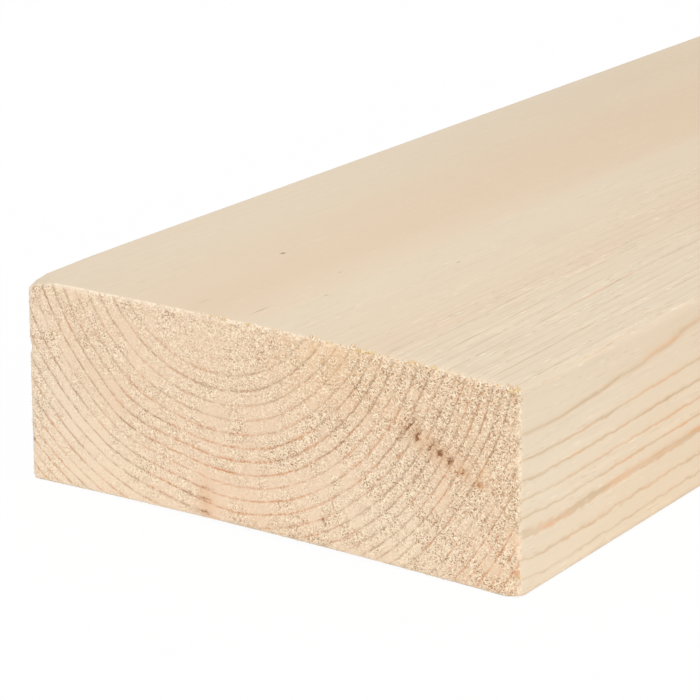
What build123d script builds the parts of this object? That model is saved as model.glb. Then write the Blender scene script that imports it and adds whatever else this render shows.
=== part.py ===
from build123d import *

import os

# One length of sawn and planed softwood, lying flat on its wide face.
# X runs across the width, Y along the grain and Z up through the thickness,
# with the origin under the middle of the plank, on the face it lies on.

# Driving dimensions, in millimetres
plank_length = 2400.0    # between the two cross-cut ends
plank_width = 120.0      # planed wide face
plank_thickness = 45.0   # planed narrow face
arris_radius = 1.5       # easing of the four long edges

os.makedirs("parts", exist_ok=True)

# The planed section is drawn upright across the grain, standing on the ground
# line, and grows the same distance along the grain to either end.
with BuildPart() as plank:
    with BuildSketch(Plane.XZ):
        Rectangle(plank_width, plank_thickness, align=(Align.CENTER, Align.MIN))
    extrude(amount=plank_length / 2, both=True)

    # Planing eases the long arrises. The cross-cut ends keep their sharp saw edges.
    long_arrises = plank.edges().filter_by(Axis.Y)
    fillet(long_arrises, radius=arris_radius)

plank.part.label = "plank"
export_step(plank.part, "parts/plank.step")
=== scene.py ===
import math

import bpy
import numpy as np
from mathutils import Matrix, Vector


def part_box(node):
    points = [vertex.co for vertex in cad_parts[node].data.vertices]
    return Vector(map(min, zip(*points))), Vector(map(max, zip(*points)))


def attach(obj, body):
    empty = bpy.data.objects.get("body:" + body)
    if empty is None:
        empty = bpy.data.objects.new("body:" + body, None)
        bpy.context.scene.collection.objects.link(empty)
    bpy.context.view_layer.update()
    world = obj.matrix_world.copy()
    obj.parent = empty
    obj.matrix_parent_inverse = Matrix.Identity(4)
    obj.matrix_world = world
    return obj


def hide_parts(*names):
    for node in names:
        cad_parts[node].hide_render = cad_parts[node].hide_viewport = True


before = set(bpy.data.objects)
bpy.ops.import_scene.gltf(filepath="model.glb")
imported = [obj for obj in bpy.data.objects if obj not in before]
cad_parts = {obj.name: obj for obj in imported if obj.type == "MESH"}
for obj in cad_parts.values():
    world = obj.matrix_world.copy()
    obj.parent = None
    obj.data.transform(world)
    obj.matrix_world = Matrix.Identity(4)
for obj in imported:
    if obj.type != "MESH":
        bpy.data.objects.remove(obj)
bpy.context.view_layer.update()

# The plank lies along Y. Sizes are in millimetres unless a name says otherwise,
# measured across from the middle (x), along from the near end (y) and up from the floor (z).
# A span is the two values between which something fades in
MM = 0.001
box_low, box_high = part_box("plank")
WIDTH = (box_high.x - box_low.x) / MM
LENGTH = (box_high.y - box_low.y) / MM
HEIGHT = (box_high.z - box_low.z) / MM
NEAR_END = box_low.y

# Section: cupped so that the wide faces are high in the middle, and a little thinner at the right
CROWN = 0.86
THINNER_RIGHT = 1.84
THICKNESS = 43.8

# Eased long edges, whose radius varies a little along the plank in two waves
ARRIS = 1.5
ARRIS_SPREAD = 0.25
ARRIS_SHORT_WAVE = 170.0
ARRIS_LONG_WAVE = 610.0

# Mesh: cells in an eased edge, cell size on the saw cuts, and rings of points along the length
PLANK_SEED = 45
ARRIS_CELLS = 5
CELL = 0.46
FIRST_STEP = 0.5
STEP_GROWTH = 1.75
LONGEST_STEP = 80.0

# The saw cuts are a little out of square: how far each leans across the width and up the thickness
NEAR_LEAN = (0.0021, -0.0268)
FAR_LEAN = (-0.008, 0.011)
LEAN_REACH = 90.0

# Torn grain of the saw cuts: low waves of the blade, and on them tufts and single fibre ends
BLADE_WAVE = 0.06
BLADE_WAVE_CELL = 9.0
TUFT_HEIGHT = 0.08
TUFT_CELL = 1.1
FIBRE_END_SHARE = 0.6

# How torn the grain is: a level at the left, more to the right and at the top, and patches of two
# sizes. One place under the upper edge is torn more evenly
FUR_LEFT = 0.66
FUR_RIGHT = 0.43
FUR_RIGHT_SPAN = (-22.0, 40.0)
FUR_TOP = 0.1
FUR_TOP_SPAN = (18.0, 42.0)
FUR_RANGE = (0.20, 1.3)
FUR_PATCH = 0.6
FUR_PATCH_CELLS = (6.0, 2.5)
EVEN_ACROSS = -5.0
EVEN_REACH = 18.0
EVEN_UP_SPAN = (20.0, 34.0)
EVEN_FUR = 0.14
EVEN_CALM = 0.7

# Soft rim of a saw cut: how ragged it is, how far it drops back and how far in, and how pale it is
# at the foot, right, top and left, partly worn fibres and partly a painted highlight, most on the top
RAGGED_RIM = 0.26
RIM_DROP = 0.40
RIM_REACH = 1.3
RIM_PALENESS_AND_HIGHLIGHT = (0.3, 0.4, 1.0, 0.3)

# Wear of the near end's corners and of the right part of its upper edge: a corner, the outward
# direction and the depth, and how much of what stands past that facet is gone
KNOCKS = (
    ((-60.0, 0.0, 44.8), (-0.286, -0.40, 0.871), 1.85),
    ((60.0, 0.0, 0.0), (0.25, -0.25, -0.93), 1.3),
    ((60.0, 0.0, 43.0), (0.50, -0.60, 0.62), 0.6),
    ((60.0, 0.0, 43.0), (0.035, -0.60, 0.80), 0.55),
    ((-60.0, 0.0, 0.0), (-0.55, -0.50, -0.67), 0.4),
)
KNOCK_SHARE = 0.92

# Near the end, the left side is worn in at the top, swells at the foot and has a small notch
LEFT_WEAR = 1.3
LEFT_FLARE = 0.4
LEFT_WEAR_REACH = 25.0
NOTCH_UP = 29.6
NOTCH_DEPTH = 0.5
NOTCH_REACH = (2.0, 3.0, 1.0)

# Places of the plank's surfaces on the bake map: left, foot, width and height
BAKE_PLACES = (
    (0.005, 0.755, 0.62, 0.235),
    (0.635, 0.755, 0.36, 0.135),
    (0.005, 0.005, 0.99, 0.17),
    (0.005, 0.185, 0.99, 0.13),
    (0.005, 0.325, 0.99, 0.30),
    (0.005, 0.635, 0.99, 0.11),
)

# Loose fibre: three-sided rings at shares of its length, with shares of its width, then the tip
FIBRE_SEED = 120
SPIKE_RINGS = ((-0.15, 1.0), (0.5, 0.75))
SPIKE_BEND = 0.18
SPIKE_POINTS = 3 * len(SPIKE_RINGS) + 1

# Fringe along the rim of a cut: denser to the right, in clumps and at the right corner, with stray
# fibres on the other sides. Values by side are for the foot, right, top and left
FRINGE_SPAN = (-34.0, 12.0)
FRINGE_LEAST = 0.04
FRINGE_CLUMP_CELL = 3.2
FRINGE_CLUMP_GAIN = 2.4
FRINGE_BETWEEN_CLUMPS = 0.30
FRINGE_CORNER_IN = 1.5
FRINGE_CORNER_REACH = 1.2
FRINGE_STRAY_CHANCE = (0.03, 0.22, 0.0, 0.03)
FRINGE_DRAWS = 4
FRINGE_INWARD = 0.3
FRINGE_ROOTS = (0.0, 1.6)
FRINGE_RISE = (0.3, 3.5)
FRINGE_OUTWARD = 0.55
FRINGE_STRAY = 0.35
FRINGE_SIZE_BY_SIDE = (0.4, 0.7, 0.85, 0.4)
FRINGE_SIZE_LEFT = 0.6
FRINGE_SIZE_RIGHT = 0.4
FRINGE_SIZE_CLUMP = 0.6
FRINGE_SHORTEST = 0.36
FRINGE_MEAN_EXTRA = 0.22
FRINGE_LONGEST = 0.85
FRINGE_WIDTHS = (0.35, 0.80)

# Tufts that stand on a cut
NEAR_TUFTS = 5500
FAR_TUFTS = 2500
TUFT_JITTER = 0.22
TUFT_STRAY = 0.9
TUFT_STRAY_SHARES = (1.0, 0.2, 1.0)
TUFT_LENGTHS = (0.15, 0.4)
TUFT_WIDTHS = (0.10, 0.22)

# Growth rings: the pith runs above the upper face and wanders along the plank. The ring count is
# a power of the radius, less a stretch of narrow years. It rises along the grain near the upper
# face, and bulges shift it: across, up, reach, rings
PITH_ACROSS = -10.4
PITH_UP = 61.5
PITH_SWAY = 0.9
PITH_SWAY_ALONG = 112.0
PITH_SINK = 1.05
PITH_SINK_ALONG = 118.0
PITH_DIP = 1.0
PITH_DIP_ALONG = 18.0
RISE_RINGS = 1.9
RISE_ALONG = 150.0
RISE_UP = 46.0
RISE_REACH = 12.5
STRETCH_RIGHT = 0.0945
STRETCH_LEFT = 0.0325
RING_RATE = 0.0723
RING_POWER = 1.3433
RING_START = 0.4354
NARROW_YEARS = 0.50
NARROW_RADIUS = 66.9
NARROW_REACH = 10.5
BULGES = (
    (-22.5, 5.0, 10.0, 0.46),
    (-34.0, 20.5, 8.0, -0.42),
    (5.0, 16.0, 10.0, -0.14),
    (62.0, 11.0, 16.0, 0.62),
    (20.0, 44.0, 8.5, -0.42),
    (43.5, 44.0, 5.0, -0.40),
    (60.0, 33.0, 10.0, -0.30),
    (60.0, 14.0, 4.0, 0.12),
    (60.0, 6.5, 5.0, -0.14),
)

# The rings wobble more away from the near end, and calm down again further along
WOBBLE = 6.0
WOBBLE_SPAN = (10.0, 500.0)
WOBBLE_CALM = 4.2
WOBBLE_CALM_SPAN = (420.0, 900.0)

# Dark lines of the rings: bolder or fainter ones by number and strength, which are bands on the
# planed sides, and a number that settles the other rings' random strengths
BOLD_RINGS = ((16, 0.4), (18, 0.9), (22, 0.6), (26, -0.5), (32, 0.5))
BAND_BREADTH = 0.45
BAND_FADE_SPAN = (34.0, 42.0)
RING_LOT = 0.37
SAME_RING = 0.3

# One dark line, in shares of a ring: how softly it starts on the pith side, which varies by ring,
# and how softly it ends on the bark side
LINE_START = 0.035
LINE_START_SPREAD = 0.04
LINE_START_PLANED = 0.02
LINE_START_BAND = 0.06
LINE_START_TORN = 0.03
LINE_END = 0.06
LINE_END_PLANED = 0.01
LINE_END_TORN = 0.03

# The lines fade and break along their length, less so on the planed sides, and are faint by the pith
RING_GAPS = 0.55
RING_GAPS_FILLED = 0.30
GAPS_FILLED_SPAN = (36.0, 42.0)
FADE_LEAST = 0.3
FADE_GAIN = 1.3
BREAK_LEVEL = 1.15
BREAK_DEPTH = 1.25
BREAK_SPAN = (0.36, 0.58)
CORE_LEAST = 0.15
CORE_SPAN = (22.0, 36.0)
TINT_FLUSH = 0.7

# How strongly the dark lines show on each surface
CONTRAST_END = 0.85
CONTRAST_END_FOOT = 0.2
CONTRAST_TOP_LEFT = 0.09
CONTRAST_TOP_RIGHT = 0.32
CONTRAST_TOP_BOLD = 0.40
CONTRAST_TOP_SPAN = (0.0, 40.0)
CONTRAST_FOOT = 0.5
CONTRAST_SIDE = 0.64
CONTRAST_SIDE_ALONG = 0.12
SIDE_SPAN = (0.0, 60.0)

# Where the dark lines of the saw cut turn orange: one place at the foot, and two lower corners
ORANGE_FOOT = 1.3
ORANGE_FOOT_ACROSS = -4.0
ORANGE_FOOT_UP = 11.0
ORANGE_FOOT_REACH = (22.0, 13.0)
ORANGE_RIGHT_SPAN = (34.0, 52.0)
ORANGE_RIGHT_UP_SPAN = (8.0, 18.0)
ORANGE_LEFT_SPAN = (-54.0, -44.0)
ORANGE_LEFT_UP_SPAN = (6.0, 14.0)
ORANGE_PUSH = 0.25
ORANGE_SPAN = (0.49, 0.69)
ORANGE_MOST = 0.85

# Tones of the saw cut: sapwood at the left and at the foot, browner places to the right
SAPWOOD_RADIUS_SPAN = (46.0, 62.0)
SAPWOOD_ACROSS_SPAN = (-40.0, 0.0)
SAPWOOD_FOOT = 0.9
PALE_FOOT_ACROSS = 30.0
PALE_FOOT_REACH = 18.0
PALE_FOOT_UP_SPAN = (8.0, 22.0)
BROWN_TOP = 0.75
BROWN_TOP_ACROSS = 19.0
BROWN_TOP_REACH = 19.0
BROWN_TOP_UP_SPAN = (20.0, 40.0)
BROWN_RIGHT = 0.5
BROWN_RIGHT_SPAN = (28.0, 58.0)

# Tones of the planed faces: two warm bands, the first of which ends quickly at its right, and a
# slow drift. Away from the ends and on the sides the wood is warmer, and some places are darker.
# Away from the ends, at the top of the sides and on the eased edges there is painted shade
WARM_BAND = 0.75
WARM_BAND_ACROSS = -18.5
WARM_BAND_REACH = 20.0
WARM_BAND_END_SPAN = (-4.0, 0.5)
WARM_BAND_END = 0.8
SECOND_BAND = 0.5
SECOND_BAND_ACROSS = 27.0
SECOND_BAND_REACH = 8.0
DRIFT = 1.2
INNER_SPAN = (10.0, 260.0)
INNER_WARMTH = 0.4
INNER_PAINTED_SHADE = 0.06
SIDE_WARMTH = 0.45
WARMEST = 1.5
LEFT_SPAN = (-48.0, -8.0)
LEFT_SHADE = 0.03
UNDER_ARRIS_SPAN = (18.0, 44.0)
SIDE_TOP_PAINTED_SHADE = 0.05
ARRIS_PAINTED_SHADE = 0.12

# Fine marks of the planed faces, livelier to the right of the upper face and in patches. The pale
# dashes among them are painted glints
LIVELY_LEFT = 0.25
LIVELY_SPAN = (-10.0, 38.0)
LIVELY_SIDES = 0.5
LIVELY_LEAST = 0.3
LIVELY_PATCHES = 1.4
LIVELY_PATCH_SPAN = (0.38, 0.62)
DASH_SPAN = (0.62, 0.76)
DASH_DARK = 0.40
DASH_PAINTED_GLINT = 0.45
DASH_DEPTH = 0.02
STREAK_SHADE = 0.18
STREAK_HEIGHT = 0.02

# Pale tufts and brown pits of the torn grain, partly the grain's own speckle and partly painted
# highlights on the tufts and painted shadow in the pits
PALE_SPAN = (0.45, 1.05)
PALE_MOST = 1.25
PIT_SPAN = (0.0, 0.32)
PIT_MOST = 0.52
CELL_SHADE = 0.18
CELL_HEIGHT = 0.06
LIP_PALE_AND_HIGHLIGHT_MOST = 0.65

# How far the rings' lines stray: by cells on the saw cut, in slow waves and in small kinks
STRAY_CELLS = 0.10
STRAY_CELLS_TORN = 0.14
STRAY_WAVE = 0.4
STRAY_KINK_SIDE = 0.75
STRAY_KINK_CALM = 0.6
STRAY_KINK_CALM_SPAN = (20.0, 34.0)
STRAY_KINK_END = 0.3

# Sizes of the wood's noises across and along the grain
WAVE_SIZE = (5.0, 10.0)
KINK_SIZE = (1.5, 3.5)
WOBBLE_SIZE = (15.0, 260.0)
FADE_SIZE = (9.0, 60.0)
BREAK_SIZE = (1.6, 14.0)
DRIFT_SIZE = (22.0, 420.0)
STREAK_SIZE = (0.9, 17.0)
DASH_SIZE = (0.32, 4.5)
LIVELY_SIZE = (3.5, 40.0)
TUFT_SIZE = (0.25, 0.25)
OCHRE_SIZE = (2.2, 2.2)

# Stains on the near end: across, up, half length, half width, turn in degrees and strength
END_STAINS = (
    (35.0, 30.6, 2.4, 0.30, -56.0, 1.10),
    (37.0, 29.1, 1.4, 0.32, -56.0, 1.10),
    (36.8, 28.9, 1.0, 0.28, 40.0, 0.90),
    (39.9, 27.4, 1.6, 0.28, -50.0, 1.05),
    (42.0, 26.5, 1.1, 0.34, -50.0, 1.15),
    (41.7, 26.7, 0.8, 0.28, 40.0, 0.80),
    (44.3, 25.3, 1.1, 0.30, -50.0, 1.05),
    (44.0, 25.6, 0.9, 0.26, 40.0, 0.80),
    (47.2, 23.8, 0.9, 0.28, -50.0, 0.70),
    (50.7, 21.9, 0.7, 0.30, -45.0, 0.60),
    (14.6, 6.9, 0.8, 0.32, 67.0, 0.90),
    (-14.3, 7.6, 1.9, 0.26, 5.0, 0.40),
    (-14.6, 5.1, 1.2, 0.30, 8.0, 0.80),
    (-15.1, 2.3, 1.3, 0.32, 5.0, 0.85),
    (-59.3, 9.0, 0.6, 0.35, 90.0, 0.70),
)

# Faint brown halos round them, in the same terms
END_HALOS = (
    (41.0, 27.2, 10.0, 2.4, 27.0, 0.24),
    (47.0, 23.8, 0.8, 0.6, -45.0, 0.50),
    (50.8, 21.8, 0.7, 0.45, -45.0, 0.90),
    (32.8, 24.3, 0.8, 0.35, -45.0, 0.70),
    (-14.4, 5.0, 2.0, 4.5, 0.0, 0.28),
    (59.4, 5.4, 0.9, 0.6, 90.0, 0.90),
)

# Specks and scratches on the upper face: across, along, half length, half width and strength
TOP_SPECKS = (
    (-25.9, 44.0, 0.60, 0.45, 0.90),
    (-5.9, 8.2, 2.6, 0.16, 0.50),
    (-18.8, 6.8, 1.8, 0.14, 0.28),
    (-37.5, 10.2, 1.5, 0.14, 0.14),
    (-1.1, 24.3, 0.5, 0.22, 0.40),
    (8.0, 60.3, 0.6, 0.26, 0.45),
    (-7.9, 39.3, 0.6, 0.20, 0.30),
)

# How deep the stains and the specks reach, how far a stain's outline strays, and how strong halos
# and resin are between the tufts, on them and at most
STAIN_DEPTH = 8.0
SPECK_DEPTH = 4.0
STAIN_STRAY = 2.0
STAIN_STRAY_SCALE = 0.9
HALO_LEAST = 0.4
HALO_TUFT = 1.2
HALO_MOST = 0.7
RESIN_LEAST = 0.35
RESIN_MOST = 0.9

# Gloss of the wood, and colours of the loose fibres by each one's random number
PLANED_ROUGHNESS = 0.58
SAWN_ROUGHER = 0.36
WOOD_GLOSS = 0.3
FIBRE_ROUGHNESS = 0.75
FIBRE_ROUGHER = 0.2
FIBRE_GLOSS = 0.2
FIBRE_PALE_SPAN = (0.3, 0.6)
OCHRE_SPAN = (0.54, 0.67)
OCHRE_SPREAD = 0.2

# Colours, as sRGB bytes
EARLY_LONG = (233, 215, 189)
EARLY_END = (236, 209, 181)
EARLY_END_BROWN = (234, 198, 158)
SAPWOOD_END = (239, 217, 191)
PEACH = (230, 206, 176)
LATE_LONG = (204, 171, 130)
LATE_END = (168, 126, 90)
LATE_ORANGE = (226, 164, 108)
LATE_RED = (210, 132, 72)
# Pale of worn fibres and of painted highlights, on the cuts' rims and in the planed faces' glints
PALE_WEAR_AND_HIGHLIGHT = (255, 243, 222)
# Tufts and pits: the grain's own speckle, with painted highlights and painted shadow
TUFT_PALE_AND_HIGHLIGHT = (255, 238, 210)
PIT_BROWN_AND_SHADOW = (158, 118, 82)
RESIN_BROWN = (130, 74, 22)
RESIN_HALO = (214, 148, 88)
FIBRE_PALE = (255, 243, 222)
FIBRE_TAN = (240, 210, 172)
FIBRE_OCHRE = (240, 210, 152)

# Stage and light: the floor's half size in metres, its paleness and how much of its plain white
# shows, the world's level, and for each lamp its direction, share of the light and spread in degrees
FLOOR_HALF = 60.0
FLOOR_PALE = (0.96, 0.96, 0.96, 1.0)
FLOOR_GLOW = 0.96
WHITE = (1.0, 1.0, 1.0, 1.0)
WORLD_LEVEL = 0.62
LAMPS = (
    ("key", (0.35, -0.55, 0.76), 0.40, 40.0),
    ("fill", (0.90, -0.20, 0.40), 0.135, 60.0),
)

# Camera of the photograph: place from the middle of the near end's foot, direction in degrees, and
# focal length in pixels of the 700 wide picture
CAMERA_PLACE = (321.57, -441.94, 215.78)
CAMERA_AZIMUTH = 34.193
CAMERA_ELEVATION = 17.870
FOCAL_PIXELS = 2914.3
IMAGE_PIXELS = 700
SENSOR_MM = 36.0


def linear(rgb_bytes):
    """An sRGB colour in bytes as the linear colour that shaders take."""
    share = np.array(rgb_bytes) / 255.0
    value = np.where(share <= 0.04045, share / 12.92, ((share + 0.055) / 1.055) ** 2.4)
    return (*value.tolist(), 1.0)


def smooth_step(low, high, value):
    t = np.clip((value - low) / (high - low), 0.0, 1.0)
    return t * t * (3.0 - 2.0 * t)


def lattice_noise(u, v, cell, rng):
    """Smooth noise from -1 to 1 at the points u, v, with one random value for each cell."""
    gu, gv = (u - u.min()) / cell, (v - v.min()) / cell
    iu, iv = gu.astype(int), gv.astype(int)
    fu, fv = smooth_step(0, 1, gu - iu), smooth_step(0, 1, gv - iv)
    table = rng.uniform(-1.0, 1.0, (iu.max() + 2, iv.max() + 2))
    near = table[iu, iv] * (1 - fu) + table[iu + 1, iv] * fu
    far = table[iu, iv + 1] * (1 - fu) + table[iu + 1, iv + 1] * fu
    return near * (1 - fv) + far * fv


# The plank's mesh

def grid_lines(size):
    """Places along one side of the section: close in the eased edges, and even between them."""
    edge = np.linspace(0.0, ARRIS, ARRIS_CELLS + 1)
    count = round((size - 2 * ARRIS) / CELL)
    inner = np.linspace(ARRIS, size - ARRIS, count + 1)[1:-1]
    return np.concatenate([edge, inner, size - edge[::-1]])


LINES_ACROSS = grid_lines(WIDTH) - WIDTH / 2
LINES_UP = grid_lines(THICKNESS)
CELLS_ACROSS = len(LINES_ACROSS) - 1
CELLS_UP = len(LINES_UP) - 1
END_POINTS = len(LINES_ACROSS) * len(LINES_UP)
RIM_SIDES = (CELLS_ACROSS, CELLS_UP, CELLS_ACROSS, CELLS_UP)


def rim_indices():
    """The section grid's outer points, once round: foot, right, top, left."""
    index = np.arange(END_POINTS).reshape(CELLS_UP + 1, CELLS_ACROSS + 1)
    return np.concatenate([index[0, :-1], index[:-1, -1], index[-1, :0:-1], index[:0:-1, 0]])


def by_side(foot, right, top, left):
    """One value for each point of the rim, by the side that it is on."""
    return np.repeat(np.array([foot, right, top, left], float), RIM_SIDES, axis=0)


def ease_arrises(x, z, radius):
    """Bends the corners of a rectangular grid on to quarter rounds."""
    middle = THICKNESS / 2
    p = np.clip((np.abs(x) - (WIDTH / 2 - radius)) / radius, 0.0, 1.0)
    q = np.clip((np.abs(z - middle) - (middle - radius)) / radius, 0.0, 1.0)
    eased_x = x - np.sign(x) * radius * p * (1 - np.sqrt(1 - q * q / 2))
    eased_z = z - np.sign(z - middle) * radius * q * (1 - np.sqrt(1 - p * p / 2))
    return eased_x, eased_z


def cupped(x, z):
    """The height of a point of the flat section after it has cupped."""
    crown = CROWN * (1 - (2 * x / WIDTH) ** 2)
    taper = THINNER_RIGHT * (x / WIDTH) * (z / THICKNESS)
    return z + crown - taper


def stations():
    """Distances of the rings of points from the near end: close by the cuts, even between them."""
    steps = []
    reach, step = 0.0, FIRST_STEP
    while step < LONGEST_STEP:
        reach += step
        steps.append(reach)
        step *= STEP_GROWTH
    count = math.ceil((LENGTH - 2 * reach) / LONGEST_STEP)
    middle = np.linspace(reach, LENGTH - reach, count + 1)[1:-1]
    return np.concatenate([steps, middle, LENGTH - np.array(steps[::-1])])


def saw_lean(x, z, lean, distance):
    """How far a cut that is out of square moves a point along, fading out away from the end."""
    tilt = lean[0] * x + lean[1] * (z - THICKNESS / 2)
    return tilt * (1 - smooth_step(0.0, LEAN_REACH, distance))


def saw_fur(x, z, rng):
    """How torn the sawn grain is at each point, from a little to about 1."""
    even = np.exp(-(((x - EVEN_ACROSS) / EVEN_REACH) ** 2)) * smooth_step(*EVEN_UP_SPAN, z)
    torn = FUR_LEFT + FUR_RIGHT * smooth_step(*FUR_RIGHT_SPAN, x)
    torn = torn + FUR_TOP * smooth_step(*FUR_TOP_SPAN, z) + EVEN_FUR * even
    patches = sum(FUR_PATCH * lattice_noise(x, z, cell, rng) for cell in FUR_PATCH_CELLS)
    return np.clip(torn * (1.0 + patches * (1.0 - EVEN_CALM * even)), *FUR_RANGE)


def saw_relief(x, z, fur, rng):
    """Depth of the torn grain: low waves of the blade, tufts and single fibre ends."""
    waves = BLADE_WAVE * lattice_noise(x, z, BLADE_WAVE_CELL, rng)
    tufts = lattice_noise(x, z, TUFT_CELL, rng) + FIBRE_END_SHARE * rng.uniform(-1.0, 1.0, x.shape)
    return waves + TUFT_HEIGHT * fur * tufts


def rim_softness(x, z):
    """1 on the rim of a saw cut, falling to 0 a little way in."""
    inward = np.minimum(WIDTH / 2 - np.abs(x), np.minimum(z, THICKNESS - z))
    return np.clip(1 - inward / RIM_REACH, 0.0, 1.0) ** 2


def saw_cut(distance, lean, outward, rng):
    """Points of one saw cut, how torn it is at each, and how near each is to the rim."""
    flat_x, flat_z = (lines.ravel() for lines in np.meshgrid(LINES_ACROSS, LINES_UP))
    x, z = ease_arrises(flat_x, flat_z, ARRIS)
    fur = saw_fur(x, z, rng)
    lip = rim_softness(flat_x, flat_z)
    y = distance + saw_lean(x, z, lean, 0.0)
    y += outward * (saw_relief(x, z, fur, rng) - RIM_DROP * lip)
    rim = rim_indices()
    inset = RAGGED_RIM * rng.uniform(0.0, 1.0, len(rim)) * fur[rim]
    x[rim] += inset * by_side(0.0, -1.0, 0.0, 1.0)
    z[rim] += inset * by_side(1.0, 0.0, -1.0, 0.0)
    # The rim's paleness: partly worn fibres, partly a painted highlight
    lip[rim] *= by_side(*RIM_PALENESS_AND_HIGHLIGHT)
    return np.stack([x, y, z], axis=1), fur, lip


def long_ring(distance):
    """Points of one ring round the plank, this far from the near end."""
    rim = rim_indices()
    flat_x, flat_z = (lines.ravel()[rim] for lines in np.meshgrid(LINES_ACROSS, LINES_UP))
    short, long = distance / ARRIS_SHORT_WAVE, distance / ARRIS_LONG_WAVE
    radius = ARRIS * (1 + ARRIS_SPREAD * math.sin(short) * math.cos(long))
    x, z = ease_arrises(flat_x, flat_z, radius)
    near, far = saw_lean(x, z, NEAR_LEAN, distance), saw_lean(x, z, FAR_LEAN, LENGTH - distance)
    return np.stack([x, distance + near + far, z], axis=1)


def knock_corners(points):
    """Wears the near end's corners and upper edge down to soft facets."""
    for corner, outward, depth in KNOCKS:
        outward = np.array(outward) / np.linalg.norm(outward)
        over = (points - np.array(corner)) @ outward + depth
        points -= np.outer(np.maximum(over, 0.0) * KNOCK_SHARE, outward)


def wear_left_side(points):
    """Leans the near end's left side in towards the top, and presses a small notch into it."""
    x, y, z = points.T
    lean = (LEFT_WEAR * z / THICKNESS - LEFT_FLARE) * (0.5 - x / WIDTH)
    lean *= 1 - smooth_step(0.0, LEFT_WEAR_REACH, y)
    place = np.array([-WIDTH / 2, 0.0, NOTCH_UP])
    notch = NOTCH_DEPTH * np.exp(-(((points - place) / np.array(NOTCH_REACH)) ** 2).sum(axis=1))
    points[:, 0] += lean + notch


def plank_points(rng):
    """Every point of the plank, with its fur and lip: near end, rings along the length, far end."""
    near, near_fur, near_lip = saw_cut(0.0, NEAR_LEAN, -1.0, rng)
    far, far_fur, far_lip = saw_cut(LENGTH, FAR_LEAN, 1.0, rng)
    rings = [long_ring(distance) for distance in stations()]
    none = np.zeros(sum(len(ring) for ring in rings))
    points = np.concatenate([near, *rings, far])
    points[:, 2] = cupped(points[:, 0], points[:, 2])
    knock_corners(points)
    wear_left_side(points)
    fur = np.concatenate([near_fur, none, far_fur])
    return points, fur, np.concatenate([near_lip, none, far_lip])


def plank_faces():
    """The plank's faces, and the surface that each lies on: ends 0 and 1, long faces 2 to 5."""
    index = np.arange(END_POINTS).reshape(CELLS_UP + 1, CELLS_ACROSS + 1)
    corners = [index[:-1, :-1], index[:-1, 1:], index[1:, 1:], index[1:, :-1]]
    near_end = np.stack(corners, axis=-1).reshape(-1, 4)
    rim = rim_indices()
    count = len(stations())
    far_start = END_POINTS + count * len(rim)
    far_end = near_end[:, ::-1] + far_start
    rings = [rim]
    rings += [END_POINTS + k * len(rim) + np.arange(len(rim)) for k in range(count)]
    rings.append(far_start + rim)
    long_faces = []
    for this, following in zip(rings, rings[1:]):
        around = [this, following, np.roll(following, -1), np.roll(this, -1)]
        long_faces.append(np.stack(around, axis=1))
    long_part = np.tile(by_side(2, 3, 4, 5).astype(int), len(long_faces))
    parts = np.concatenate([np.full(len(near_end), 0), np.full(len(far_end), 1), long_part])
    return np.concatenate([near_end, far_end, *long_faces]), parts


def mesh_from_arrays(name, points, faces):
    """A smooth mesh object in metres, from points in millimetres."""
    mesh = bpy.data.meshes.new(name)
    place = points * MM + np.array([0.0, NEAR_END, 0.0])
    mesh.from_pydata(place.tolist(), [], faces.tolist())
    mesh.polygons.foreach_set("use_smooth", np.ones(len(mesh.polygons), bool))
    piece = bpy.data.objects.new(name, mesh)
    bpy.context.scene.collection.objects.link(piece)
    return piece


def add_attribute(mesh, name, kind, domain, values):
    mesh.attributes.new(name, kind, domain).data.foreach_set("value", values)


def sharpen_rims(mesh, parts):
    """Marks the edges between the saw cuts and the long faces as sharp."""
    loops = np.zeros(len(mesh.loops), int)
    mesh.loops.foreach_get("edge_index", loops)
    is_end = np.repeat(parts < 2, 4)
    on_end = np.bincount(loops[is_end], minlength=len(mesh.edges)) > 0
    on_long = np.bincount(loops[~is_end], minlength=len(mesh.edges)) > 0
    add_attribute(mesh, "sharp_edge", "BOOLEAN", "EDGE", on_end & on_long)


def lay_out_bake_map(mesh, points, faces, parts):
    """Lays the ends and the long faces out side by side, the long ones shortened along the grain."""
    x, y, z = points[faces].transpose(2, 0, 1)
    across, along, up = x / WIDTH + 0.5, y / LENGTH, z / HEIGHT
    wide_face, narrow_face = (along, across), (along, up)
    shares = ((across, up), (1 - across, up), wide_face, narrow_face, wide_face, narrow_face)
    u, v = np.zeros_like(x), np.zeros_like(x)
    for part, (left, foot, wide, tall) in enumerate(BAKE_PLACES):
        here = parts == part
        share_u, share_v = shares[part]
        u[here] = left + wide * np.clip(share_u[here], 0.0, 1.0)
        v[here] = foot + tall * np.clip(share_v[here], 0.0, 1.0)
    layer = mesh.uv_layers.new(name="OFBake")
    layer.data.foreach_set("uv", np.stack([u, v], axis=-1).ravel())


def make_plank():
    rng = np.random.default_rng(PLANK_SEED)
    points, fur, lip = plank_points(rng)
    faces, parts = plank_faces()
    piece = mesh_from_arrays("plank_sawn", points, faces)
    mesh = piece.data
    sharpen_rims(mesh, parts)
    add_attribute(mesh, "fur", "FLOAT", "POINT", fur)
    add_attribute(mesh, "lip", "FLOAT", "POINT", lip)
    add_attribute(mesh, "end_grain", "FLOAT", "FACE", (parts < 2).astype(float))
    lay_out_bake_map(mesh, points, faces, parts)
    return piece, points, fur


# Loose fibres on the saw cuts

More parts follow.
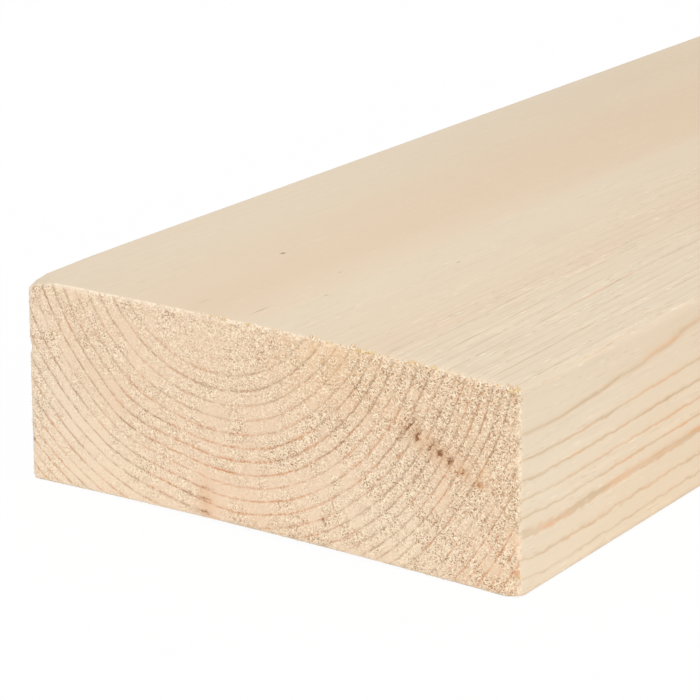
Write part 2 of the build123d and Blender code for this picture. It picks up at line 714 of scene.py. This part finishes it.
def spikes(roots, directions, lengths, widths, rng):
    """Points and faces of thin three-sided spikes, bent a little at half their length."""
    count = len(roots)
    directions = directions / np.linalg.norm(directions, axis=1, keepdims=True)
    side = np.cross(directions, rng.normal(size=(count, 3)))
    side /= np.linalg.norm(side, axis=1, keepdims=True)
    other = np.cross(directions, side)
    bend = rng.normal(scale=SPIKE_BEND, size=(count, 3)) * lengths[:, None]
    rows = []
    for share, thick in SPIKE_RINGS:
        centre = roots + directions * (lengths * share)[:, None] + bend * max(share, 0.0)
        for k in range(3):
            turn = 2 * math.pi * k / 3
            ring = side * math.cos(turn) + other * math.sin(turn)
            rows.append(centre + ring * (widths * thick / 2)[:, None])
    rows.append(roots + directions * lengths[:, None] + bend)
    points = np.stack(rows, axis=1).reshape(-1, 3)
    pattern = [(2, 1, 0)]
    pattern += [(k, (k + 1) % 3, 3 + (k + 1) % 3) for k in range(3)]
    pattern += [(k, 3 + (k + 1) % 3, 3 + k) for k in range(3)]
    pattern += [(3 + k, 3 + (k + 1) % 3, 6) for k in range(3)]
    starts = SPIKE_POINTS * np.arange(count)[:, None, None]
    return points, (np.array(pattern)[None] + starts).reshape(-1, 3)


def rim_fibres(points, outward_y, rng):
    """Roots, directions, lengths and widths of the fringe that the saw left along a cut's rim."""
    rim = points[rim_indices()]
    on_top = by_side(0.0, 0.0, 1.0, 0.0)
    lumps = FRINGE_CLUMP_GAIN * lattice_noise(rim[:, 0], rim[:, 2], FRINGE_CLUMP_CELL, rng)
    from_corner = WIDTH / 2 - FRINGE_CORNER_IN - rim[:, 0]
    corner = np.exp(-((from_corner / FRINGE_CORNER_REACH) ** 2))
    clump = np.maximum(np.clip(lumps, 0.0, 1.0), corner) * on_top
    torn = smooth_step(*FRINGE_SPAN, rim[:, 0])
    chance = on_top * (FRINGE_LEAST + (1 - FRINGE_LEAST) * torn)
    chance = chance * (FRINGE_BETWEEN_CLUMPS + (1 - FRINGE_BETWEEN_CLUMPS) * clump)
    chance = chance + by_side(*FRINGE_STRAY_CHANCE)
    draws = [np.flatnonzero(rng.uniform(size=len(rim)) < chance) for _ in range(FRINGE_DRAWS)]
    picked = np.concatenate(draws)
    count = len(picked)
    inward = FRINGE_INWARD * by_side((0, 0, 1), (-1, 0, 0), (0, 0, -1), (1, 0, 0))[picked]
    roots = rim[picked] + inward * rng.uniform(*FRINGE_ROOTS, (count, 1))
    directions = -inward * rng.uniform(*FRINGE_RISE, (count, 1))
    directions[:, 1] += FRINGE_OUTWARD * outward_y
    directions += rng.normal(scale=FRINGE_STRAY, size=roots.shape)
    growth = FRINGE_SIZE_LEFT + (FRINGE_SIZE_RIGHT + FRINGE_SIZE_CLUMP * clump) * torn
    size = (by_side(*FRINGE_SIZE_BY_SIDE) * growth)[picked]
    length = np.minimum(FRINGE_SHORTEST + rng.exponential(FRINGE_MEAN_EXTRA, count), FRINGE_LONGEST)
    return roots, directions, size * length, size * rng.uniform(*FRINGE_WIDTHS, count)


def face_fibres(points, fur, outward_y, count, rng):
    """The same for the tufts that stand on a saw cut, denser where it is more torn."""
    picked = rng.choice(len(points), size=count, p=fur / fur.sum())
    jitter = rng.uniform(-TUFT_JITTER, TUFT_JITTER, (count, 3)) * np.array([1.0, 0.0, 1.0])
    roots = points[picked] + jitter
    directions = np.zeros((count, 3))
    directions[:, 1] = outward_y
    directions += rng.normal(scale=TUFT_STRAY, size=(count, 3)) * np.array(TUFT_STRAY_SHARES)
    lengths = rng.uniform(*TUFT_LENGTHS, count)
    return roots, directions, lengths, rng.uniform(*TUFT_WIDTHS, count)


def make_fibres(points, fur):
    rng = np.random.default_rng(FIBRE_SEED)
    near, far = slice(None, END_POINTS), slice(-END_POINTS, None)
    groups = [
        rim_fibres(points[near], -1.0, rng),
        rim_fibres(points[far], 1.0, rng),
        face_fibres(points[near], fur[near], -1.0, NEAR_TUFTS, rng),
        face_fibres(points[far], fur[far], 1.0, FAR_TUFTS, rng),
    ]
    joined = [np.concatenate(parts) for parts in zip(*groups)]
    spike_points, spike_faces = spikes(*joined, rng)
    spike_points[:, 2] = np.maximum(spike_points[:, 2], 0.0)
    piece = mesh_from_arrays("sawn_fibres", spike_points, spike_faces)
    counts = [len(group[0]) * SPIKE_POINTS for group in groups]
    fringe = np.repeat([1.0, 1.0, 0.0, 0.0], counts)
    add_attribute(piece.data, "fringe", "FLOAT", "POINT", fringe)
    return piece


# Shader formulas

class Value:
    """One number in a shader. Formulas of values and plain numbers become Math nodes."""

    def __init__(self, graph, socket):
        self.graph = graph
        self.socket = socket

    def __add__(self, other):
        return self.graph.math("ADD", self, other)

    __radd__ = __add__

    def __sub__(self, other):
        return self.graph.math("SUBTRACT", self, other)

    def __rsub__(self, other):
        return self.graph.math("SUBTRACT", other, self)

    def __mul__(self, other):
        return self.graph.math("MULTIPLY", self, other)

    __rmul__ = __mul__

    def __truediv__(self, other):
        return self.graph.math("DIVIDE", self, other)

    def __pow__(self, other):
        return self.graph.math("POWER", self, other)


class Graph:
    """Adds nodes to one shader tree. An input is a plain value, a Value or another node's output."""

    def __init__(self, tree):
        self.tree = tree

    def feed(self, socket, value):
        if isinstance(value, Value):
            value = value.socket
        if isinstance(value, bpy.types.NodeSocket):
            self.tree.links.new(value, socket)
        else:
            socket.default_value = value

    def node(self, kind, inputs=(), **settings):
        made = self.tree.nodes.new("ShaderNode" + kind)
        for name, value in settings.items():
            setattr(made, name, value)
        for name, value in dict(inputs).items():
            self.feed(made.inputs[name], value)
        return made

    def attribute(self, name):
        return Value(self, self.node("Attribute", attribute_name=name).outputs["Fac"])

    def split(self, vector):
        """A vector's three parts."""
        parts = self.node("SeparateXYZ", {"Vector": vector})
        return tuple(Value(self, parts.outputs[k]) for k in range(3))

    def vector(self, operation, *vectors):
        made = self.node("VectorMath", dict(enumerate(vectors)), operation=operation)
        return made.outputs[0]

    def math(self, operation, *values):
        made = self.node("Math", operation=operation)
        for socket, value in zip(made.inputs, values):
            self.feed(socket, value)
        return Value(self, made.outputs[0])

    def least(self, first, second):
        return self.math("MINIMUM", first, second)

    def most(self, first, second):
        return self.math("MAXIMUM", first, second)

    def step(self, low, high, value):
        """A smooth step from 0 at low to 1 at high."""
        ends = {"Value": value, "From Min": low, "From Max": high}
        made = self.node("MapRange", ends, interpolation_type="SMOOTHSTEP")
        return Value(self, made.outputs[0])

    def bell(self, value, reach):
        """1 at zero, falling off on both sides within about the reach."""
        scaled = value / reach
        return self.math("EXPONENT", scaled * scaled * -1.0)

    def random_pair(self, texture):
        """Two random values that a texture node gives in its colour."""
        parts = self.node("SeparateColor", {"Color": texture.outputs["Color"]})
        return Value(self, parts.outputs[0]), Value(self, parts.outputs[1])

    def grain_place(self, place, size):
        """A place for a texture, in units of this size across and along the grain."""
        x, y, z = place
        across, along = size
        scaled = {"X": x / across, "Y": y / along, "Z": z / across}
        return self.node("CombineXYZ", scaled).outputs[0]

    def noise(self, place, size, detail=1.0):
        """Two noises around 0.5, with features about as large as the size."""
        inputs = {"Vector": self.grain_place(place, size), "Scale": 1.0, "Detail": detail}
        return self.random_pair(self.node("TexNoise", inputs))

    def cells(self, place, size):
        """Two values that are the same all over one random cell, with cells about this size."""
        inputs = {"Vector": self.grain_place(place, size), "Scale": 1.0}
        return self.random_pair(self.node("TexVoronoi", inputs))

    def mix(self, share, first, second):
        """A colour that goes from the first to the second as the share goes from 0 to 1."""
        made = self.node("Mix", {"Factor": share}, data_type="RGBA")
        first_colour, second_colour = made.inputs[6:8]
        self.feed(first_colour, first)
        self.feed(second_colour, second)
        return made.outputs[2]

    def scale(self, vector, level):
        """The vector times this factor, which makes a colour lighter or darker."""
        made = self.node("VectorMath", {"Vector": vector, "Scale": level}, operation="SCALE")
        return made.outputs[0]

    def spot(self, place, middle, half_sizes, turn=0.0):
        """1 in the middle of an oval spot, falling to 0 outside it. The turn is about the grain."""
        around = (0.0, math.radians(turn), 0.0)
        inputs = {"Vector": place, "Location": middle, "Rotation": around, "Scale": half_sizes}
        inside = self.node("Mapping", inputs, vector_type="TEXTURE")
        length = self.node("VectorMath", {"Vector": inside.outputs[0]}, operation="LENGTH")
        return self.bell(Value(self, length.outputs["Value"]), 1.0)

    def blend_shaders(self, share, first, second):
        made = self.node("MixShader", {"Fac": share})
        self.feed(made.inputs[1], first.outputs[0])
        self.feed(made.inputs[2], second.outputs[0])
        return made


def new_material(name):
    material = bpy.data.materials.new(name)
    material.use_nodes = True
    tree = material.node_tree
    tree.nodes.clear()
    return material, Graph(tree)


# The wood. A place is the shaded point's x, y and z

def surface_place(g):
    """The shaded point as a vector in millimetres: across, along from the near end and up."""
    place = g.node("TexCoord").outputs["Object"]
    return g.scale(g.vector("ADD", place, (0.0, -NEAR_END, 0.0)), 1 / MM)


def straying(g, place, jog, end, planed, torn):
    """How far the rings' lines stray at a point."""
    wave, _ = g.noise(place, WAVE_SIZE)
    kink, _ = g.noise(place, KINK_SIZE)
    calm = STRAY_KINK_CALM * g.step(*STRAY_KINK_CALM_SPAN, place[2])
    kinked = planed * (STRAY_KINK_SIDE - calm) + end * STRAY_KINK_END
    by_cell = (jog - 0.5) * (STRAY_CELLS * end + STRAY_CELLS_TORN * torn)
    return by_cell + (wave - 0.5) * STRAY_WAVE + (kink - 0.5) * kinked


def growth_rings(g, place, stray):
    """The ring count at a point in the tree, and its distance from the pith."""
    x, y, z = place
    risen = RISE_RINGS * (1.0 - g.math("EXPONENT", y * (-1.0 / RISE_ALONG)))
    rise = risen * g.bell(z - RISE_UP, RISE_REACH)
    wobble_x, wobble_z = g.noise(place, WOBBLE_SIZE)
    wobble = WOBBLE * g.step(*WOBBLE_SPAN, y) - WOBBLE_CALM * g.step(*WOBBLE_CALM_SPAN, y)
    dip = PITH_DIP * (y / PITH_DIP_ALONG) * g.math("EXPONENT", 1.0 - y / PITH_DIP_ALONG)
    pith_x = PITH_ACROSS - PITH_SWAY * g.math("SINE", y / PITH_SWAY_ALONG)
    pith_z = PITH_UP - PITH_SINK * g.math("SINE", y / PITH_SINK_ALONG) - dip
    across = x - pith_x + (wobble_x - 0.5) * wobble
    down = pith_z - z + (wobble_z - 0.5) * wobble
    radius = g.math("SQRT", across * across + down * down) + stray
    right = g.step(-1.0, 1.0, across)
    stretch = STRETCH_LEFT + (STRETCH_RIGHT - STRETCH_LEFT) * right
    radius = radius + stretch * across * across / radius
    narrow = NARROW_YEARS * g.bell(radius - NARROW_RADIUS, NARROW_REACH)
    count = RING_RATE * radius ** RING_POWER + RING_START - narrow + rise
    for bulge_x, bulge_z, reach, rings in BULGES:
        count = count + rings * g.bell(x - bulge_x, reach) * g.bell(z - bulge_z, reach)
    return count, radius


def ring_lines(g, count, radius, place, planed, torn):
    """Darkness of the latewood, how bold the ring is, and a slow noise for its tint."""
    z = place[2]
    line = g.math("ROUND", count)
    lot = g.node("TexWhiteNoise", {"W": line + RING_LOT}, noise_dimensions="1D")
    strength = Value(g, lot.outputs["Value"])
    _, breadth = g.random_pair(lot)
    bold = sum(share * g.bell(line - ring, SAME_RING) for ring, share in BOLD_RINGS)
    band = planed * g.most(bold, 0.0) * (1.0 - g.step(*BAND_FADE_SPAN, z))

    # The latewood darkens slowly from the pith side, and ends quickly on the bark side
    inside = g.most(line - count - BAND_BREADTH * band, 0.0)
    outside = g.most(count - line, 0.0)
    soft = LINE_START + LINE_START_SPREAD * breadth + LINE_START_PLANED * planed
    soft = soft + LINE_START_BAND * band + LINE_START_TORN * torn
    slow = g.math("EXPONENT", inside / soft * -1.0)
    quick = g.bell(outside, LINE_END + LINE_END_TORN * torn + LINE_END_PLANED * planed)

    # Some rings are faint, and the lines fade and break along their length
    gap = RING_GAPS - RING_GAPS_FILLED * planed * (1.0 - g.step(*GAPS_FILLED_SPAN, z))
    fade, tint = g.noise(place, FADE_SIZE, detail=2.0)
    broken, flush = g.noise(place, BREAK_SIZE)
    core = CORE_LEAST + (1.0 - CORE_LEAST) * g.step(*CORE_SPAN, radius)
    dark = slow * quick * (1.0 - gap * (1.0 - strength)) * (FADE_LEAST + FADE_GAIN * fade) * core
    dark = dark * (BREAK_LEVEL - BREAK_DEPTH * gap * (1.0 - g.step(*BREAK_SPAN, broken)))
    dark = dark * g.least(1.0 + bold, 1.0)
    return g.least(dark, 1.0), bold, tint + TINT_FLUSH * planed * (flush - 0.5)


def ring_contrast(g, place, facing_z, sideways, foot, bold, end, planed):
    """How strongly the dark lines show: most on the saw cut, and least on the upper face."""
    x, y, _ = place
    right = (CONTRAST_TOP_RIGHT + CONTRAST_TOP_BOLD * bold) * g.step(*CONTRAST_TOP_SPAN, x)
    upper = (CONTRAST_TOP_LEFT + right) * g.most(facing_z, 0.0)
    lower = CONTRAST_FOOT * g.most(facing_z * -1.0, 0.0)
    side = (CONTRAST_SIDE + CONTRAST_SIDE_ALONG * g.step(*SIDE_SPAN, y)) * sideways
    return (CONTRAST_END - CONTRAST_END_FOOT * foot) * end + planed * (upper + lower + side)


def late_wood(g, place, tint, end):
    """Colour of the dark lines: brown, turning orange here and there and along the saw cut's foot."""
    x, _, z = place
    reach_x, reach_z = ORANGE_FOOT_REACH
    middle = ORANGE_FOOT * g.bell(x - ORANGE_FOOT_ACROSS, reach_x) * g.bell(z - ORANGE_FOOT_UP, reach_z)
    right = g.step(*ORANGE_RIGHT_SPAN, x) * (1.0 - g.step(*ORANGE_RIGHT_UP_SPAN, z))
    left = (1.0 - g.step(*ORANGE_LEFT_SPAN, x)) * (1.0 - g.step(*ORANGE_LEFT_UP_SPAN, z))
    warm = g.step(*ORANGE_SPAN, tint + ORANGE_PUSH * end * (middle + right + left))
    brown = g.mix(end, linear(LATE_LONG), linear(LATE_END))
    orange = g.mix(end, linear(LATE_ORANGE), linear(LATE_RED))
    return g.mix(warm * ORANGE_MOST, brown, orange)


def end_tone(g, place, radius, foot):
    """Colour between the dark lines of a saw cut."""
    x, _, z = place
    sapwood = g.step(*SAPWOOD_RADIUS_SPAN, radius) * (1.0 - g.step(*SAPWOOD_ACROSS_SPAN, x))
    upper = g.bell(x - BROWN_TOP_ACROSS, BROWN_TOP_REACH) * g.step(*BROWN_TOP_UP_SPAN, z)
    brown = BROWN_TOP * upper + BROWN_RIGHT * g.step(*BROWN_RIGHT_SPAN, x) * (1.0 - foot)
    colour = g.mix(brown, linear(EARLY_END), linear(EARLY_END_BROWN))
    return g.mix(g.most(sapwood, SAPWOOD_FOOT * foot), colour, linear(SAPWOOD_END))


def planed_tone(g, place, sideways):
    """Colour between the dark lines of a planed face, with painted shade away from the ends, at the top
    of the sides and on the eased edges.
    """
    x, y, z = place
    drift, _ = g.noise(place, DRIFT_SIZE, detail=2.0)
    middle = WARM_BAND * g.bell(x - WARM_BAND_ACROSS, WARM_BAND_REACH)
    middle = middle * (1.0 - WARM_BAND_END * g.step(*WARM_BAND_END_SPAN, x))
    second = SECOND_BAND * g.bell(x - SECOND_BAND_ACROSS, SECOND_BAND_REACH)
    # inner is 1 away from the ends, where the wood is warmer and darkened by painted shade
    inner = g.step(*INNER_SPAN, y) * g.step(*INNER_SPAN, LENGTH - y)
    bands = middle + second + (drift - 0.5) * DRIFT
    bands = bands + SIDE_WARMTH * sideways * g.step(*SIDE_SPAN, y)
    warm = g.least(g.most(bands + INNER_WARMTH * inner, 0.0), WARMEST)
    colour = g.mix(warm, linear(EARLY_LONG), linear(PEACH))
    left = 1.0 - g.step(*LEFT_SPAN, x)
    # Painted shade: the sides get darker towards their top
    side_top_shade_mask = sideways * g.step(*UNDER_ARRIS_SPAN, z)
    # Painted shade on the eased edges, most where they face halfway between side and top
    arris_shade_mask = sideways * (1.0 - sideways)
    level = 1.0 - INNER_PAINTED_SHADE * inner - LEFT_SHADE * left
    return g.scale(colour, level - SIDE_TOP_PAINTED_SHADE * side_top_shade_mask - ARRIS_PAINTED_SHADE * arris_shade_mask)


def planed_detail(g, colour, place, facing_z, planed):
    """Fine streaks, short dark dashes and short pale dashes, which are painted glints, of a planed
    face, and their height.
    """
    streak, _ = g.noise(place, STREAK_SIZE, detail=3.0)
    dash, glint = g.noise(place, DASH_SIZE)
    patch, _ = g.noise(place, LIVELY_SIZE)
    lively = planed * (LIVELY_LEFT + (1.0 - LIVELY_LEFT) * g.step(*LIVELY_SPAN, place[0]))
    lively = lively * (LIVELY_SIDES + (1.0 - LIVELY_SIDES) * g.math("ABSOLUTE", facing_z))
    lively = lively * (LIVELY_LEAST + LIVELY_PATCHES * g.step(*LIVELY_PATCH_SPAN, patch))
    scored = g.step(*DASH_SPAN, dash)
    colour = g.scale(colour, 1.0 + (streak - 0.5) * STREAK_SHADE * lively)
    colour = g.mix(scored * DASH_DARK * lively, colour, linear(LATE_LONG))
    # Painted glints: short pale dashes along the grain
    colour = g.mix(g.step(*DASH_SPAN, glint) * DASH_PAINTED_GLINT * lively, colour, linear(PALE_WEAR_AND_HIGHLIGHT))
    return colour, (streak - 0.5) * STREAK_HEIGHT - scored * DASH_DEPTH


def torn_detail(g, colour, tuft, jog, torn):
    """Pale tufts and brown pits of torn end grain, partly its own speckle and partly painted highlights
    and shadow of the fuzz.
    """
    # Pale tufts carry painted highlights and the pits painted shadow, on top of the grain's own speckle
    pale = g.step(*PALE_SPAN, tuft)
    pit = 1.0 - g.step(*PIT_SPAN, tuft)
    colour = g.scale(colour, 1.0 + (jog - 0.5) * CELL_SHADE * torn)
    colour = g.mix(pale * PALE_MOST * torn, colour, linear(TUFT_PALE_AND_HIGHLIGHT))
    return g.mix(pit * PIT_MOST * torn * torn, colour, linear(PIT_BROWN_AND_SHADOW))


def spots(g, place, places):
    """How strongly a group of spots on the near end shows at a point."""
    total = 0.0
    for x, z, half_length, half_width, turn, strength in places:
        half_sizes = (half_length, STAIN_DEPTH, half_width)
        total = total + strength * g.spot(place, (x, 0.0, z), half_sizes, turn)
    return total


def stained(g, colour, place, tuft, end):
    """Adds the resin and its halos to the near end, and the specks to the upper face."""
    noise = {"Vector": place, "Scale": STAIN_STRAY_SCALE, "Detail": 2.0}
    centred = g.vector("SUBTRACT", g.node("TexNoise", noise).outputs["Color"], (0.5, 0.5, 0.5))
    strayed = g.vector("MULTIPLY_ADD", centred, (STAIN_STRAY, 0.0, STAIN_STRAY), place)
    halo = spots(g, strayed, END_HALOS) * (HALO_LEAST + HALO_TUFT * tuft) * end
    resin = spots(g, strayed, END_STAINS) * (RESIN_LEAST + tuft) * end
    for x, y, half_length, half_width, strength in TOP_SPECKS:
        half_sizes = (half_width, half_length, SPECK_DEPTH)
        resin = resin + strength * g.spot(place, (x, y, HEIGHT), half_sizes)
    colour = g.mix(g.least(halo, HALO_MOST), colour, linear(RESIN_HALO))
    return g.mix(g.least(resin, RESIN_MOST), colour, linear(RESIN_BROWN))


def softwood():
    """Bare planed softwood with sawn end grain, solid all through."""
    material, g = new_material("softwood")
    vector = surface_place(g)
    place = g.split(vector)
    x, _, z = place
    end, fur, lip = (g.attribute(name) for name in ("end_grain", "fur", "lip"))
    facing_x, _, facing_z = g.split(g.node("NewGeometry").outputs["Normal"])
    sideways = g.math("ABSOLUTE", facing_x)
    tuft, jog = g.cells(place, TUFT_SIZE)
    torn = fur * end
    planed = 1.0 - end
    foot = g.bell(x - PALE_FOOT_ACROSS, PALE_FOOT_REACH) * (1.0 - g.step(*PALE_FOOT_UP_SPAN, z))

    stray = straying(g, place, jog, end, planed, torn)
    count, radius = growth_rings(g, place, stray)
    dark, bold, tint = ring_lines(g, count, radius, place, planed, torn)
    contrast = ring_contrast(g, place, facing_z, sideways, foot, bold, end, planed)

    early = g.mix(end, planed_tone(g, place, sideways), end_tone(g, place, radius, foot))
    early = torn_detail(g, early, tuft, jog, torn)
    colour = g.mix(dark * contrast, early, late_wood(g, place, tint, end))
    colour, planed_height = planed_detail(g, colour, place, facing_z, planed)
    # Pale rim of the saw cuts: partly worn fibres, partly a painted highlight
    colour = g.mix(lip * LIP_PALE_AND_HIGHLIGHT_MOST, colour, linear(PALE_WEAR_AND_HIGHLIGHT))
    colour = stained(g, colour, vector, tuft, end)

    height = (tuft - 0.5) * CELL_HEIGHT * torn + planed_height * planed
    bump = g.node("Bump", {"Height": height, "Strength": 1.0, "Distance": MM})
    shader = g.node("BsdfPrincipled", {
        "Base Color": colour,
        "Roughness": PLANED_ROUGHNESS + SAWN_ROUGHER * end,
        "Normal": bump.outputs[0],
        "Specular IOR Level": WOOD_GLOSS,
    })
    g.node("OutputMaterial", {"Surface": shader.outputs[0]})
    return material


def fibre_wood():
    """Loose fibres: mostly pale, with tan ones between and a few clumps of ochre in the fringe."""
    material, g = new_material("fibre")
    lot = Value(g, g.node("NewGeometry").outputs["Random Per Island"])
    clump, _ = g.noise(g.split(surface_place(g)), OCHRE_SIZE)
    clump = clump + OCHRE_SPREAD * lot - OCHRE_SPREAD / 2
    ochre = g.attribute("fringe") * g.step(*OCHRE_SPAN, clump)
    colour = g.mix(g.step(*FIBRE_PALE_SPAN, lot), linear(FIBRE_TAN), linear(FIBRE_PALE))
    colour = g.mix(ochre, colour, linear(FIBRE_OCHRE))
    shader = g.node("BsdfPrincipled", {
        "Base Color": colour,
        "Roughness": FIBRE_ROUGHNESS + FIBRE_ROUGHER * lot,
        "Specular IOR Level": FIBRE_GLOSS,
    })
    g.node("OutputMaterial", {"Surface": shader.outputs[0]})
    return material


# Stage, light and camera

def seen_directly(g):
    """1 for rays that show the surroundings themselves, and 0 for rays that gather their light."""
    path = g.node("LightPath").outputs
    mirrored = g.most(path["Is Glossy Ray"], path["Is Transmission Ray"])
    return g.most(path["Is Camera Ray"], mirrored)


def make_floor():
    """A wide pale floor that keeps a soft shadow under the plank."""
    around = ((-1, -1), (1, -1), (1, 1), (-1, 1))
    corners = [(x * FLOOR_HALF, y * FLOOR_HALF, 0.0) for x, y in around]
    mesh = bpy.data.meshes.new("floor")
    mesh.from_pydata(corners, [], [(0, 1, 2, 3)])
    floor = bpy.data.objects.new("floor", mesh)
    bpy.context.scene.collection.objects.link(floor)
    material, g = new_material("floor_white")
    matt = g.node("BsdfDiffuse", {"Color": FLOOR_PALE})
    glow = g.node("Emission", {"Color": WHITE, "Strength": 1.0})
    blend = g.blend_shaders(FLOOR_GLOW * seen_directly(g), matt, glow)
    g.node("OutputMaterial", {"Surface": blend.outputs[0]})
    mesh.materials.append(material)


def make_world():
    """Even studio light from all round, on a white background."""
    world = bpy.data.worlds.new("studio")
    bpy.context.scene.world = world
    world.use_nodes = True
    world.node_tree.nodes.clear()
    g = Graph(world.node_tree)
    light = g.node("Background", {"Color": WHITE, "Strength": WORLD_LEVEL})
    white = g.node("Background", {"Color": WHITE, "Strength": 1.0})
    blend = g.blend_shaders(seen_directly(g), light, white)
    g.node("OutputWorld", {"Surface": blend.outputs[0]})


def make_lamp(name, towards, share, spread):
    """A broad soft lamp, as far off as the sun, that adds this share of a plain level of light."""
    lamp = bpy.data.lights.new(name, "SUN")
    lamp.energy = share * math.pi
    lamp.angle = math.radians(spread)
    holder = bpy.data.objects.new(name, lamp)
    direction = np.array(towards) / np.linalg.norm(towards)
    azimuth = math.atan2(direction[0], -direction[1])
    holder.rotation_euler = (math.acos(direction[2]), 0.0, azimuth)
    bpy.context.scene.collection.objects.link(holder)


def make_camera():
    data = bpy.data.cameras.new("photo_camera")
    data.sensor_width = SENSOR_MM
    data.lens = FOCAL_PIXELS / IMAGE_PIXELS * SENSOR_MM
    camera = bpy.data.objects.new("photo_camera", data)
    camera.location = np.array(CAMERA_PLACE) * MM + np.array([0.0, NEAR_END, 0.0])
    tilt, turn = math.radians(90.0 - CAMERA_ELEVATION), math.radians(CAMERA_AZIMUTH)
    camera.rotation_euler = (tilt, 0.0, turn)
    bpy.context.scene.collection.objects.link(camera)
    bpy.context.scene.camera = camera


plank, plank_at, plank_fur = make_plank()
plank.data.materials.append(softwood())
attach(plank, "root")
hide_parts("plank")

fibres = make_fibres(plank_at, plank_fur)
fibres.data.materials.append(fibre_wood())
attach(fibres, "root")

make_floor()
make_world()
for lamp_settings in LAMPS:
    make_lamp(*lamp_settings)
make_camera()
bpy.context.scene.view_settings.view_transform = "Standard"
